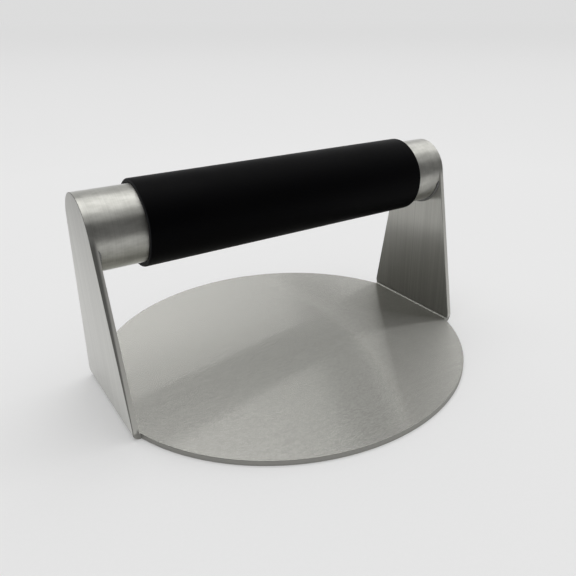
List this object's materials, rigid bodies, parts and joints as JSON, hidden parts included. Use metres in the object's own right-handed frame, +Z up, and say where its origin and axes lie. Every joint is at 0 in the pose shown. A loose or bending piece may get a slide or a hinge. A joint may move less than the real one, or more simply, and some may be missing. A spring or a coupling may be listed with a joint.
{
  "type": "bacon press",
  "caption": "Round flat stainless griddle press with folded side ears joined by a horizontal tube handle that carries a black silicone grip.",
  "frame": {"origin": "centre of the round plate's underside", "axes": "+Z up from the plate to the handle, X along the handle from ear to ear, Y across the handle"},
  "size_m": [0.1412, 0.14, 0.0763],
  "materials": {
    "plate_steel": "fine brushed stainless sheet, grain up the ears and across the plate",
    "tube_steel": "stainless tube polished around its girth, brighter than the sheet",
    "grip_silicone": "matte black silicone",
    "weld_steel": "fine fillet weld, cleaned and slightly duller than the sheet"
  },
  "bodies": {
    "root": {"press_plate": "plate_steel", "handle_tube": "tube_steel", "grip_sleeve": "grip_silicone", "weld_left": "weld_steel", "weld_right": "weld_steel"}
  },
  "joints": []
}
